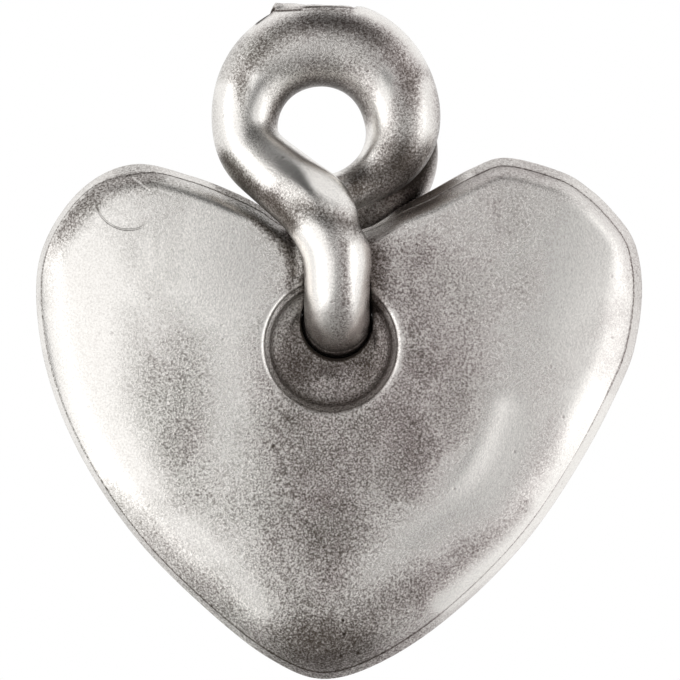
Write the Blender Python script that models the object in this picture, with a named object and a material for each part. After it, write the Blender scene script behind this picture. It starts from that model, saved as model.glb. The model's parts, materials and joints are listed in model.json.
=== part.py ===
"""Heart pendant: a cast heart that hangs on a twisted bail.

The bail is one thick bar, bent into an eye for the cord. Its front strand crosses the heart's notch,
turns back through a hole in the heart, and comes up behind to lie against the other leg of the eye.
The heart hangs on it by the bridge, the round bar of metal between the notch and the hole.

Metres, +Z up as the pendant is worn, front towards -Y. The origin is the centre of the eye.
"""

import math

import bmesh
import bpy
import numpy as np
from mathutils import Matrix, Vector, geometry

MM = 0.001

# The bail
EYE_RADIUS = 2.48 * MM
STRAND = 3.6 * MM
BACK_STRAND = 3.9 * MM
BACK_SWELL = 4.24 * MM
LOOP_LEFT = 3.55 * MM
LOOP_TOP = 4.35 * MM
LOOP_RIGHT = 4.15 * MM
LOOP_BULGE = 0.25 * MM
LOOP_END = 2.4 * MM
END_FORWARD = 0.9 * MM
CROSSING = 4.1 * MM
HINGE_DROP = 7.1 * MM
HINGE_ASIDE = 0.9 * MM
GATE_LENGTH = 5.6 * MM
GATE_HEIGHT = 0.17 * MM
GATE_THICKNESS = 1.6 * MM
GATE_ASIDE = 0.5 * MM
GATE_SINK = 1.2 * MM
GATE_ROUND = 0.18 * MM
GATE_TILT = math.radians(3)

# The heart
HEART_WIDTH = 33.3 * MM
HEART_HEIGHT = 28.7 * MM
FRONT_DEPTH = 2.75 * MM
BACK_DEPTH = 2.4 * MM
PARTING_DEPTH = 0.7 * MM
RIM_RISE = 1.3 * MM
RIM_ROUND = 1.1 * MM
BACK_ROUND = 1.0 * MM
DOME_REACH = 8.0 * MM
DISH_RADIUS = 3.6 * MM
DISH_DEPTH = 2.0 * MM
DISH_LIP = 0.35 * MM
DISH_DROP = 4.7 * MM
DISH_ASIDE = -0.33 * MM

# How the two fit together
BRIDGE_RADIUS = 1.2 * MM
CLEARANCE = 0.3 * MM
SWING = math.radians(15)

HINGE = np.array((HINGE_ASIDE, 0.0, -HINGE_DROP))
WRAP_RADIUS = BRIDGE_RADIUS + CLEARANCE + BACK_STRAND / 2
GROOVE_RADIUS = BACK_STRAND / 2 + CLEARANCE

# How finely the two are cut into faces
BAR_STEP = 0.8 * MM
EDGE_STEP = 0.55 * MM
FACE_STEP = 1.2 * MM
BAR_SIDES = 20
CUTTER_SIDES = 24

# The heart's outline, clockwise from the right shoulder to the left one, each point as a share of
# the width to the right of the hinge and a share of the height above it.
OUTLINE = (
    (0.154, 0.132),
    (0.223, 0.176),
    (0.281, 0.196),
    (0.373, 0.168),
    (0.421, 0.133),
    (0.455, 0.095),
    (0.486, 0.048),
    (0.500, -0.003),
    (0.504, -0.067),
    (0.496, -0.145),
    (0.476, -0.221),
    (0.408, -0.376),
    (0.314, -0.537),
    (0.195, -0.675),
    (0.081, -0.766),
    (-0.020, -0.803),
    (-0.108, -0.766),
    (-0.210, -0.675),
    (-0.329, -0.537),
    (-0.423, -0.376),
    (-0.479, -0.215),
    (-0.497, -0.057),
    (-0.477, 0.048),
    (-0.416, 0.142),
    (-0.334, 0.184),
    (-0.240, 0.161),
    (-0.168, 0.129),
)


def smooth_path(points, step, closed=False):
    """Catmull-Rom curve through the points, with a new point about every step along it.

    Any columns after the first three, such as a radius, are carried along in the same way.
    """
    points = np.asarray(points, float)
    if closed:
        points = np.vstack((points[-1], points, points[:2]))
    else:
        points = np.vstack((2 * points[0] - points[1], points, 2 * points[-1] - points[-2]))
    made = []
    for before, start, end, after in zip(points, points[1:], points[2:], points[3:]):
        count = max(2, round(np.linalg.norm((end - start)[:3]) / step))
        t = np.linspace(0, 1, count, endpoint=False)[:, None]
        made.append(
            start
            + 0.5 * t * (end - before)
            + t**2 * (before - 2.5 * start + 2 * end - 0.5 * after)
            + t**3 * (1.5 * (start - end) + 0.5 * (after - before))
        )
    if not closed:
        made.append(points[-2:-1])
    return np.vstack(made)


def wrap(angles, radii, reach=WRAP_RADIUS):
    """Stations round the bridge: angle 0 is straight up, 90 in front, 180 below and 270 behind."""
    a = np.radians(angles)
    x = np.full(a.shape, HINGE[0])
    y = HINGE[1] - reach * np.sin(a)
    z = HINGE[2] + reach * np.cos(a)
    return np.column_stack((x, y, z, np.broadcast_to(radii, a.shape)))


def loop_station(angle, width, depth):
    """A station on the eye: its inner side lies on the eye's circle, at an angle from +X."""
    reach = EYE_RADIUS + width / 2
    a = math.radians(angle)
    return (reach * math.cos(a), depth, reach * math.sin(a), width / 2)


def between(start, end, shares):
    """Stations between two points: shares of the way across, back and up, and then a radius."""
    shares = np.array(shares)
    at = np.asarray(start)[:3] + shares[:, :3] * (np.asarray(end)[:3] - np.asarray(start)[:3])
    return np.column_stack((at, shares[:, 3]))


def front_strand():
    """Stations of the bar from its hidden end, round the eye, across the notch and into the hole."""
    eye = [
        loop_station(-80, LOOP_END, -END_FORWARD),
        loop_station(-52, LOOP_END, -0.2 * END_FORWARD),
        loop_station(-26, (LOOP_END + LOOP_RIGHT) / 2, 0.2 * END_FORWARD),
        loop_station(0, LOOP_RIGHT, 0.2 * END_FORWARD),
        loop_station(30, LOOP_RIGHT + LOOP_BULGE, 0),
        loop_station(62, LOOP_TOP + LOOP_BULGE / 2, 0),
        loop_station(92, LOOP_TOP, 0),
        loop_station(122, LOOP_TOP, 0),
        loop_station(148, (LOOP_TOP + LOOP_LEFT) / 2, 0),
        loop_station(172, LOOP_LEFT, -0.03 * WRAP_RADIUS),
        loop_station(190, LOOP_LEFT, -0.12 * WRAP_RADIUS),
    ]
    drop = wrap(np.arange(90, 196, 15), STRAND / 2)
    middle = CROSSING / 2
    crossing = between(
        eye[-1],
        drop[0],
        (
            (0.25, 0.34, 0.22, 0.90 * middle),
            (0.55, 0.72, 0.42, 0.94 * middle),
            (0.85, 0.95, 0.615, middle),
            (0.96, 1.00, 0.84, (middle + STRAND / 2) / 2),
        ),
    )
    return smooth_path(np.vstack((eye, crossing, drop)), BAR_STEP)


def back_strand():
    """Stations of the bar from inside the hole, up behind the heart, to the right leg of the eye."""
    start = wrap(np.array((158, 170)), (0.94 * STRAND / 2, 1.02 * STRAND / 2))
    radius = BACK_STRAND / 2
    swell = BACK_SWELL / 2
    far = WRAP_RADIUS + swell - radius
    under = wrap(np.array((184, 200, 212)), radius)
    behind = wrap(np.array((240, 257)), swell, far)
    rise = between(
        HINGE + np.array((0, far, 0)),
        (EYE_RADIUS + LOOP_RIGHT / 2, 0, EYE_RADIUS * 0.55),
        (
            (0.03, 0.00, 0.00, (radius + swell) / 2),
            (0.22, -0.03, 0.165, radius),
            (0.58, 0.00, 0.32, radius),
            (0.84, 0.13, 0.47, radius),
            (0.99, 0.41, 0.65, radius),
            (1.00, 0.69, 0.82, 0.92 * radius),
            (1.00, 0.88, 1.00, 0.72 * radius),
        ),
    )
    return smooth_path(np.vstack((start, under, behind, rise)), BAR_STEP)


def rounded_ends(stations):
    """Adds stations of falling radius past both ends, so that the tube closes in two domes."""
    turn = np.radians((30, 55, 75))
    caps = []
    for end, inner in ((0, 1), (-1, -2)):
        out = stations[end, :3] - stations[inner, :3]
        out /= np.linalg.norm(out)
        radius = stations[end, 3]
        at = stations[end, :3] + radius * np.sin(turn)[:, None] * out
        caps.append(np.column_stack((at, radius * np.cos(turn))))
    return np.vstack((caps[0][::-1], stations, caps[1]))


def tube(name, stations, sides, closed=False):
    """A mesh object: a round bar through the stations, whose fourth column is its radius."""
    curve = bpy.data.curves.new(name, "CURVE")
    curve.dimensions = "3D"
    curve.twist_mode = "MINIMUM"
    curve.bevel_depth = 1.0
    curve.bevel_resolution = sides // 2 - 2
    curve.use_fill_caps = not closed
    spline = curve.splines.new("POLY")
    spline.points.add(len(stations) - 1)
    homogeneous = np.column_stack((stations[:, :3], np.ones(len(stations))))
    spline.points.foreach_set("co", homogeneous.ravel())
    spline.points.foreach_set("radius", stations[:, 3].copy())
    spline.use_cyclic_u = closed
    bent = bpy.data.objects.new(name + "_line", curve)
    bpy.context.scene.collection.objects.link(bent)
    bpy.context.view_layer.update()
    mesh = bpy.data.meshes.new_from_object(bent.evaluated_get(bpy.context.evaluated_depsgraph_get()))
    bpy.data.objects.remove(bent)
    bpy.data.curves.remove(curve)
    weld(mesh)
    return placed(name, mesh)


def weld(mesh):
    """Joins vertices that lie on each other and turns all faces outwards."""
    bm = bmesh.new()
    bm.from_mesh(mesh)
    bmesh.ops.remove_doubles(bm, verts=bm.verts, dist=0.001 * MM)
    bmesh.ops.recalc_face_normals(bm, faces=bm.faces)
    bm.to_mesh(mesh)
    bm.free()


def placed(name, mesh):
    """Links a mesh to the scene under its name."""
    mesh.name = name
    obj = bpy.data.objects.new(name, mesh)
    bpy.context.scene.collection.objects.link(obj)
    return obj


def grid_mesh(name, rings, cap_first, cap_last):
    """A mesh from rings of points, bridged in order, each end closed by one face or left open."""
    rings = np.asarray(rings, float)
    count, around = rings.shape[:2]
    index = np.arange(count * around).reshape(count, around)
    after = np.roll(index, -1, axis=1)
    quads = np.stack((index[:-1], after[:-1], after[1:], index[1:]), axis=-1).reshape(-1, 4)
    faces = quads.tolist()
    if cap_first:
        faces.append(index[0, ::-1].tolist())
    if cap_last:
        faces.append(index[-1].tolist())
    mesh = bpy.data.meshes.new(name)
    mesh.from_pydata(rings.reshape(-1, 3).tolist(), [], faces)
    mesh.validate()
    return mesh


def outline_ring(step):
    """The heart's outline as x and z, clockwise seen from the front, in points about a step apart."""
    shares = np.array(OUTLINE)
    points = np.column_stack(
        (HINGE[0] + shares[:, 0] * HEART_WIDTH, HINGE[2] + shares[:, 1] * HEART_HEIGHT)
    )
    notch = np.array(
        (
            (HINGE[0] - 1.83 * GROOVE_RADIUS, HINGE[2] + 1.3 * GROOVE_RADIUS),
            (HINGE[0] - 1.2 * GROOVE_RADIUS, HINGE[2] + 0.88 * GROOVE_RADIUS),
            (HINGE[0] - 0.05 * GROOVE_RADIUS, HINGE[2] + BRIDGE_RADIUS + CLEARANCE),
            (HINGE[0] + 0.82 * GROOVE_RADIUS, HINGE[2] + 0.82 * GROOVE_RADIUS),
            (HINGE[0] + 1.54 * GROOVE_RADIUS, HINGE[2] + 1.28 * GROOVE_RADIUS),
        )
    )
    knots = np.vstack((points, notch))
    knots = np.column_stack((knots, np.zeros(len(knots))))
    return smooth_path(knots, step, closed=True)[:, :2]


def inward(ring, distance):
    """The ring moved inwards by a distance, at right angles to itself."""
    along = np.roll(ring, -1, axis=0) - np.roll(ring, 1, axis=0)
    along /= np.linalg.norm(along, axis=1)[:, None]
    return ring + distance * np.column_stack((along[:, 1], -along[:, 0]))


def edge_distance(points, ring):
    """A soft distance from the outline: equal to the true one near it, and without a ridge between
    two facing sides."""
    length = np.linalg.norm(np.roll(ring, -1, axis=0) - ring, axis=1)
    middle = (np.roll(ring, -1, axis=0) + ring) / 2
    apart = np.linalg.norm(points[:, None, :] - middle[None, :, :], axis=2)
    apart = np.maximum(apart, 1e-6)
    return ((length * apart**-6).sum(axis=1) / 1.178) ** -0.2


def dome(points, ring):
    """Depth of the front face: a low pillow that levels off towards the middle."""
    share = np.minimum(edge_distance(points, ring) / DOME_REACH, 1)
    rim = PARTING_DEPTH + RIM_RISE
    return -(rim + (FRONT_DEPTH - rim) * (1 - (1 - share) ** 2))


def heart_blank():
    """The heart before its hole, dish and grooves are cut: a round-edged pillow with a flat back."""
    ring = outline_ring(EDGE_STEP)
    levels = []
    for turn in np.radians((90, 72, 54, 36, 18, 0)):
        shift = BACK_ROUND * (1 - math.cos(turn))
        depth = BACK_DEPTH - BACK_ROUND * (1 - math.sin(turn))
        levels.append((shift, depth))
    for turn in np.radians((0, 18, 36, 54, 72, 90)):
        shift = RIM_ROUND * (1 - math.cos(turn))
        depth = -(PARTING_DEPTH + RIM_RISE * math.sin(turn))
        levels.append((shift, depth))
    rings = []
    for shift, depth in levels:
        at = inward(ring, shift)
        rings.append(np.column_stack((at[:, 0], np.full(len(at), depth), at[:, 1])))
    blank = placed("heart_body", grid_mesh("heart_body", rings, cap_first=True, cap_last=False))
    add_front(blank, ring, rings[-1])
    return blank


def well_inside(point, loop, margin):
    """Whether a point lies within a closed loop, and at least a margin from it."""
    after = np.roll(loop, -1, axis=0)
    crosses = (loop[:, 1] > point[1]) != (after[:, 1] > point[1])
    rise = np.where(crosses, after[:, 1] - loop[:, 1], 1)
    at = loop[:, 0] + (point[1] - loop[:, 1]) * (after[:, 0] - loop[:, 0]) / rise
    within = np.count_nonzero(crosses & (point[0] < at)) % 2 == 1
    return within and np.linalg.norm(loop - point, axis=1).min() > margin


def add_front(blank, ring, rim):
    """Fills the front of the blank with a net of triangles that follow the dome."""
    border = [Vector((x, z)) for x, _, z in rim]
    low, high = rim.min(axis=0), rim.max(axis=0)
    grid = np.mgrid[low[0] : high[0] : FACE_STEP, low[2] : high[2] : FACE_STEP].reshape(2, -1).T
    inside = [Vector(p) for p in grid if well_inside(p, rim[:, ::2], 0.7 * FACE_STEP)]
    loop = [(i, (i + 1) % len(border)) for i in range(len(border))]
    found = geometry.delaunay_2d_cdt(border + inside, loop, [], 1, 1e-7)
    flat = np.array([tuple(p) for p in found[0]])
    depth = dome(flat, ring)
    depth[: len(border)] = rim[:, 1]
    bm = bmesh.new()
    bm.from_mesh(blank.data)
    verts = [bm.verts.new((x, y, z)) for (x, z), y in zip(flat, depth)]
    for face in found[2]:
        bm.faces.new([verts[i] for i in face])
    bm.to_mesh(blank.data)
    bm.free()
    weld(blank.data)


def dish_cutter():
    """A round bowl with a flared lip, turned about an axis from front to back."""
    floor = -FRONT_DEPTH + DISH_DEPTH
    corner = 0.45 * DISH_DEPTH
    profile = []
    for turn in np.radians((12, 30, 48, 66, 84)):
        reach = DISH_RADIUS - corner * (1 - math.sin(turn))
        profile.append((reach, floor - corner * (1 - math.cos(turn))))
    for turn in np.radians((0, 22, 45, 67, 90)):
        reach = DISH_RADIUS + DISH_LIP * (1 - math.cos(turn))
        profile.append((reach, -FRONT_DEPTH + DISH_LIP * (1 - math.sin(turn))))
    profile.append((DISH_RADIUS + DISH_LIP, -FRONT_DEPTH - DISH_LIP))
    centre = HINGE + np.array((DISH_ASIDE, 0, -DISH_DROP))
    turns = np.linspace(0, 2 * math.pi, 72, endpoint=False)
    rings = [
        centre + np.column_stack((r * np.cos(turns), np.full(len(turns), y), r * np.sin(turns)))
        for r, y in profile
    ]
    return cutter("dish", grid_mesh("dish", rings, cap_first=True, cap_last=True))


def cutter(name, mesh):
    """A hidden helper object with outward faces."""
    weld(mesh)
    obj = placed("cutter_" + name, mesh)
    hide(obj)
    return obj


def hide(obj):
    """Keeps a helper object out of the finished part."""
    obj.hide_render = True
    obj.display_type = "WIRE"


def groove_cutter():
    """The ring-shaped way round the bridge in which the bail turns."""
    stations = wrap(np.arange(0, 360, 7.5), GROOVE_RADIUS)
    obj = tube("cutter_groove", stations, CUTTER_SIDES, closed=True)
    hide(obj)
    return obj


def above_hinge(stations, side):
    """The stations above the hinge and on one side of it, front -1 or back 1, where the bar has left
    its circle round the bridge."""
    clear = (stations[:, 2] > HINGE[2] + 0.4 * BRIDGE_RADIUS) & (stations[:, 1] * side > CLEARANCE)
    return stations[clear]


def way_cutter(name, stations):
    """The room that one strand needs while the heart swings: a bar wider by the clearance, and drawn
    out to both sides along the arc that each station makes about the hinge."""
    wide = stations.copy()
    wide[:, 3] += CLEARANCE
    obj = tube("cutter_" + name, wide, CUTTER_SIDES)
    count = len(obj.data.vertices)
    at = np.empty(3 * count)
    obj.data.vertices.foreach_get("co", at)
    at = at.reshape(-1, 3)
    middle = wide[:, :3]
    near = np.linalg.norm(at[:, None] - middle[None], axis=2).argmin(axis=1)
    path = np.gradient(middle, axis=0)
    path /= np.linalg.norm(path, axis=1)[:, None]
    arm = (middle - HINGE) * (0, 1, 1)
    drift = np.cross(arm, (1, 0, 0)) * math.sin(SWING)
    drift -= (drift * path).sum(axis=1)[:, None] * path
    reach = np.linalg.norm(drift, axis=1)
    side = drift / np.maximum(reach, 0.001 * MM)[:, None]
    out = at - middle[near]
    share = (out * side[near]).sum(axis=1) / wide[near, 3]
    at += (share * reach[near])[:, None] * side[near]
    obj.data.vertices.foreach_set("co", at.ravel())
    hide(obj)
    return obj


def combine(target, operation, tools):
    """Adds one Boolean modifier to the target for each tool."""
    for tool in tools:
        change = target.modifiers.new(tool.name, "BOOLEAN")
        change.operation = operation
        change.solver = "EXACT"
        change.object = tool


def material(name, colour, roughness, metallic):
    """A plain material for one piece."""
    made = bpy.data.materials.new(name)
    made.use_nodes = True
    shader = made.node_tree.nodes["Principled BSDF"]
    shader.inputs["Base Color"].default_value = (*colour, 1)
    shader.inputs["Roughness"].default_value = roughness
    shader.inputs["Metallic"].default_value = metallic
    return made


def finish(obj, surface):
    """Gives a piece its one material and a smooth look on its round parts."""
    obj.data.materials.clear()
    obj.data.materials.append(surface)
    obj.data.shade_smooth()


def gate_stub():
    """The low remains of the casting gate, filed nearly flush, on top of the eye."""
    top = EYE_RADIUS + LOOP_TOP
    bm = bmesh.new()
    bmesh.ops.create_cube(bm, size=1.0)
    size = Vector((GATE_LENGTH, GATE_THICKNESS, GATE_HEIGHT + GATE_SINK))
    bmesh.ops.scale(bm, vec=size, verts=bm.verts)
    bmesh.ops.bevel(bm, geom=bm.edges, offset=GATE_ROUND, segments=2, affect="EDGES", profile=0.5)
    tilt = Matrix.Rotation(GATE_TILT, 3, "Y")
    bmesh.ops.rotate(bm, cent=(0, 0, 0), matrix=tilt, verts=bm.verts)
    bmesh.ops.translate(bm, vec=(GATE_ASIDE, 0, top + (GATE_HEIGHT - GATE_SINK) / 2), verts=bm.verts)
    mesh = bpy.data.meshes.new("cutter_gate")
    bm.to_mesh(mesh)
    bm.free()
    return cutter("gate", mesh)


def build_bail():
    """The bail: the front strand, with the back strand and the gate's stub joined to it."""
    bail = tube("bail", rounded_ends(front_strand()), BAR_SIDES)
    back = tube("cutter_back", rounded_ends(back_strand()), BAR_SIDES)
    hide(back)
    combine(bail, "UNION", [back, gate_stub()])
    finish(bail, material("antique_silver_bail", (0.42, 0.40, 0.37), 0.36, 1.0))
    return bail


def build_heart():
    """The heart, with its own origin on the line that it swings about."""
    heart = heart_blank()
    front = way_cutter("front_way", above_hinge(front_strand(), -1))
    back = way_cutter("back_way", above_hinge(back_strand(), 1))
    combine(heart, "DIFFERENCE", [groove_cutter(), dish_cutter(), front, back])
    finish(heart, material("antique_silver_heart", (0.40, 0.38, 0.36), 0.40, 1.0))
    to_hinge = Matrix.Translation(-Vector(HINGE))
    heart.data.transform(to_hinge)
    heart.location = HINGE
    return heart


for old in list(bpy.data.objects):
    bpy.data.objects.remove(old)

build_bail()
build_heart()
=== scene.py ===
# %% [markdown]
# # A heart pendant of antique silver
# This notebook dresses a small cast pendant. Two pieces make it: a solid heart, and the thick bail that
# crosses the heart's notch, dips through a hole in its middle and closes into an eye for a cord.
# The solids were made before, to the millimetre. Here each one gets a finer surface and a metal that
# looks cast, blackened and rubbed bright again, with highlights and shade painted into its colour too.

# %% Load the frame
import math

import bpy
import numpy as np
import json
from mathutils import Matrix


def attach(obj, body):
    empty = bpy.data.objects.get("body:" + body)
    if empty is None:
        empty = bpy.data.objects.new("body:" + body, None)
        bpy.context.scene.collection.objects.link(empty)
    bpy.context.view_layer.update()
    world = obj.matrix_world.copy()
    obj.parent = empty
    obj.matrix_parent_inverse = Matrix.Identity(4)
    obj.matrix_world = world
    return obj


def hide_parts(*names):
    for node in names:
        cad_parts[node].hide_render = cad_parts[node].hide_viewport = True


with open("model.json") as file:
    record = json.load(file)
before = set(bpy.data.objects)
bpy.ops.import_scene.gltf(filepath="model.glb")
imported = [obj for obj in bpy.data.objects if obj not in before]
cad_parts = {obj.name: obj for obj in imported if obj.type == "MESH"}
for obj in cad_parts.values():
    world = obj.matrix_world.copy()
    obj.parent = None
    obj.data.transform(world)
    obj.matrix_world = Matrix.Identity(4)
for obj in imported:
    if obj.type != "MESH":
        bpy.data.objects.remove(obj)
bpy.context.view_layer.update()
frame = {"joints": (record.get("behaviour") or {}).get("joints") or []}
MM = 0.001
HINGE = np.array(frame["joints"][0]["pos_m"])
print("the heart swings about x at", (HINGE / MM).round(2))

# %% [markdown]
# ## Curves through a few knots
# A maker's drawing gives a shape by a few points and a smooth curve through them. Here the curve is
# cubic: between two knots it blends four neighbours with cubic weights, so it passes through every
# knot and never has a kink. After that the curve is measured along its length and read again at even
# steps, because even steps make even faces, and even faces make calm reflections on metal.


# %% Curve helpers
def through_knots(knots, steps, closed):
    """For t from 0 to 1 in each span: start + t/2 (end - before) + t^2 (before - 5/2 start + 2 end
    - 1/2 after) + t^3 (3/2 (start - end) + 1/2 (after - before)), for all spans at once."""
    knots = np.asarray(knots, float)
    if closed:
        row = np.vstack((knots[-1], knots, knots[:2]))
    else:
        row = np.vstack((2 * knots[0] - knots[1], knots, 2 * knots[-1] - knots[-2]))
    before, start, end, after = row[:-3, None], row[1:-2, None], row[2:-1, None], row[3:, None]
    t = np.linspace(0, 1, steps, endpoint=False)[None, :, None]
    made = (
        start
        + 0.5 * t * (end - before)
        + t**2 * (before - 2.5 * start + 2 * end - 0.5 * after)
        + t**3 * (1.5 * (start - end) + 0.5 * (after - before))
    ).reshape(-1, knots.shape[1])
    return made if closed else np.vstack((made, knots[-1]))


def even_steps(points, count, closed, axes=3):
    """The same curve read at evenly spaced lengths; columns after the first axes ride along."""
    row = np.vstack((points, points[:1])) if closed else points
    run = np.concatenate(([0], np.cumsum(np.linalg.norm(np.diff(row[:, :axes], axis=0), axis=1))))
    wanted = np.linspace(0, run[-1], count, endpoint=not closed)
    return np.column_stack([np.interp(wanted, run, row[:, k]) for k in range(row.shape[1])])


def softened(line, reach):
    """Each station becomes a mean of its neighbours, weighted by exp(-(steps / reach)^2 / 2). Past the
    ends the line is turned over about its end points, so that these stay where they are."""
    count = 3 * reach
    weights = np.exp(-0.5 * (np.arange(-count, count + 1) / reach) ** 2)
    weights /= weights.sum()
    row = np.vstack((2 * line[0] - line[count:0:-1], line, 2 * line[-1] - line[-2 : -count - 2 : -1]))
    return np.column_stack([np.convolve(row[:, k], weights, mode="valid") for k in range(row.shape[1])])


arch = even_steps(through_knots(((0, 0), (1, 1), (2, 0)), 10, False), 5, False, axes=2)
print("a curve through three knots, read in even steps:", arch.round(2).tolist())

# %% [markdown]
# ## Soft steps and bells
# Nothing on a worn casting starts or ends suddenly. A few small formulas make every form and every mark
# below fade in and out: a soft step, a mix of two values, the larger of two values with its corner
# rounded off, and a bell, which is 1 in its middle and falls away on both sides.


# %% Soft formulas
def smooth_step(value, low, high):
    """0 below low, 1 above high, and 3t^2 - 2t^3 between them."""
    t = np.clip((value - low) / (high - low), 0, 1)
    return t * t * (3 - 2 * t)


def mix(a, b, share):
    """a + share (b - a)."""
    return a + share * (b - a)


def smooth_max(a, b, width):
    """max(a, b) + width h^2 / 4, where h falls from 1 to 0 while a and b part by the width."""
    h = np.maximum(1 - np.abs(a - b) / width, 0)
    return np.maximum(a, b) + width * h * h / 4


def bell(value, middle, width, power=2):
    """exp(-|(value - middle) / width|^power). A higher power makes the top flatter."""
    return np.exp(-(np.abs((value - middle) / width) ** power))


def in_mm(points):
    """The three coordinates as plain numbers of millimetres."""
    return points[..., 0] / MM, points[..., 1] / MM, points[..., 2] / MM


print("a bell of width 1 at 0, 1 and 2:", bell(np.arange(3), 0, 1).round(3).tolist())

# %% [markdown]
# ## From a grid of points to a mesh
# Every new piece below is one grid: a function of two numbers, u round the piece and v along it. The
# grid goes into a mesh as whole arrays. A piece closed in both directions, like a ring, needs no caps,
# and a bar that narrows to nothing at its ends is closed by joining each end row to one point.


# %% Mesh helper
def grid_piece(name, grid, close_v=False):
    """Rows along v of points round u. Each face joins point (i, j) to (i, j+1), (i+1, j+1), (i+1, j). The
    faces are turned outwards if the volume that they enclose comes out negative."""
    rows, around = grid.shape[:2]
    points = grid.reshape(-1, 3)
    index = np.arange(rows * around).reshape(rows, around)
    start = index if close_v else index[:-1]
    end = np.roll(index, -1, axis=0) if close_v else index[1:]
    quads = np.stack((start, np.roll(start, -1, 1), np.roll(end, -1, 1), end), -1).reshape(-1, 4)
    loops = quads.ravel()
    sizes = np.full(len(quads), 4)
    if not close_v:
        ends = np.array((points[index[0]].mean(axis=0), points[index[-1]].mean(axis=0)))
        points = np.vstack((points, ends))
        first, last = len(points) - 2, len(points) - 1
        fan = np.stack((np.full(around, first), np.roll(index[0], -1), index[0]), -1)
        tail = np.stack((np.full(around, last), index[-1], np.roll(index[-1], -1)), -1)
        loops = np.concatenate((loops, fan.ravel(), tail.ravel()))
        sizes = np.concatenate((sizes, np.full(2 * around, 3)))
    starts = np.concatenate(([0], np.cumsum(sizes)[:-1]))
    corner = points[loops[starts]]
    second = points[loops[starts + 1]]
    third = points[loops[starts + 2]]
    fourth = points[loops[starts + sizes - 1]]
    volume = (np.cross(corner, second) * third).sum() + (np.cross(corner, third) * fourth).sum()
    mesh = bpy.data.meshes.new(name)
    mesh.vertices.add(len(points))
    mesh.vertices.foreach_set("co", points.astype(np.float32).ravel())
    mesh.loops.add(len(loops))
    mesh.loops.foreach_set("vertex_index", loops.astype(np.int32))
    mesh.polygons.add(len(sizes))
    mesh.polygons.foreach_set("loop_start", starts.astype(np.int32))
    mesh.update(calc_edges=True)
    mesh.validate()
    if volume < 0:
        mesh.flip_normals()
    mesh.shade_smooth()
    piece = bpy.data.objects.new(name, mesh)
    bpy.context.scene.collection.objects.link(piece)
    print(name, "points", len(points), "faces", len(sizes), "volume mm3", round(abs(volume) / 6e-9, 1))
    return piece


# %% [markdown]
# ## The bail's path
# The bail is one thick bar. It starts hidden behind the crossing, goes up the right leg of the eye,
# over the top and down the left leg, crosses the notch in front of the heart, and turns back round the
# bridge, the metal between the notch and the hole. Behind the heart it climbs to the right leg again.
# The path is a list of stations: x, y, z and the bar's radius there. Round the bridge they lie on a
# circle about the hinge, so that the heart can swing without touching it.

# %% Stations of the bar
EYE_RADIUS = 2.48 * MM  # the hole for the cord
STRAND = 3.6 * MM  # the bar's width where it drops into the dish
BACK_STRAND = 3.9 * MM  # its width where it leaves the hole behind
BACK_SWELL = 4.24 * MM  # its width where it turns up behind the heart
BRIDGE_RADIUS = 1.2 * MM  # the metal between the notch and the hole
CLEARANCE = 0.3 * MM  # between that metal and the bar
WRAP_RADIUS = BRIDGE_RADIUS + CLEARANCE + BACK_STRAND / 2


def eye_stations(rows):
    """Each row is an angle from +X, a bar width and a depth, made dense before it is bent round. The
    bar's inner side touches the eye's circle, so its middle lies half a width further out."""
    angle, width, depth = through_knots(rows, 6, False).T
    reach = EYE_RADIUS + width * MM / 2
    a = np.radians(angle)
    return np.column_stack((reach * np.cos(a), depth * MM, reach * np.sin(a), width * MM / 2))


def wrap_stations(angles, radius, reach=WRAP_RADIUS):
    """A circle about the hinge: 0 is straight up, 90 in front, 180 below and 270 behind."""
    a = np.radians(np.array(angles, float))
    x = np.full(len(a), HINGE[0])
    y, z = HINGE[1] - reach * np.sin(a), HINGE[2] + reach * np.cos(a)
    return np.column_stack((x, y, z, np.broadcast_to(radius, a.shape)))


def stations_between(start, end, rows):
    """Stations on the way from one place to another. Each row is a share of the way in x, one in y and
    one in z, and the bar's width in mm."""
    rows = np.array(rows, float)
    return np.column_stack((mix(start, end, rows[:, :3]), rows[:, 3] * MM / 2))


front_eye = eye_stations((
    (-97, 2.1, -2.1), (-80, 2.4, -1.2), (-52, 2.4, -0.18), (-26, 3.27, 0.18), (0, 4.1, 0.18), (30, 4.45, 0),
    (62, 4.8, 0), (92, 4.75, 0), (122, 4.47, 0), (148, 4.0, 0), (172, 3.6, -0.1), (188, 3.5, -0.38),
))
drop = wrap_stations(range(90, 196, 15), STRAND / 2)
crossing = stations_between(front_eye[-1, :3], drop[0, :3], (
    (0.085, 0.13, 0.12, 3.55), (0.25, 0.34, 0.22, 3.69), (0.55, 0.72, 0.42, 3.85),
    (0.85, 0.95, 0.615, 4.1), (0.96, 1.0, 0.84, 3.85),
))
front_path = np.vstack((front_eye, crossing, drop))
print("front strand runs through", len(front_path), "stations")

# %% [markdown]
# ## The bar behind the heart
# The same bar goes on through the hole, swells where it turns up behind the heart, and climbs to the
# right leg of the eye. It is a path of its own, because it ends inside that leg.

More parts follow.
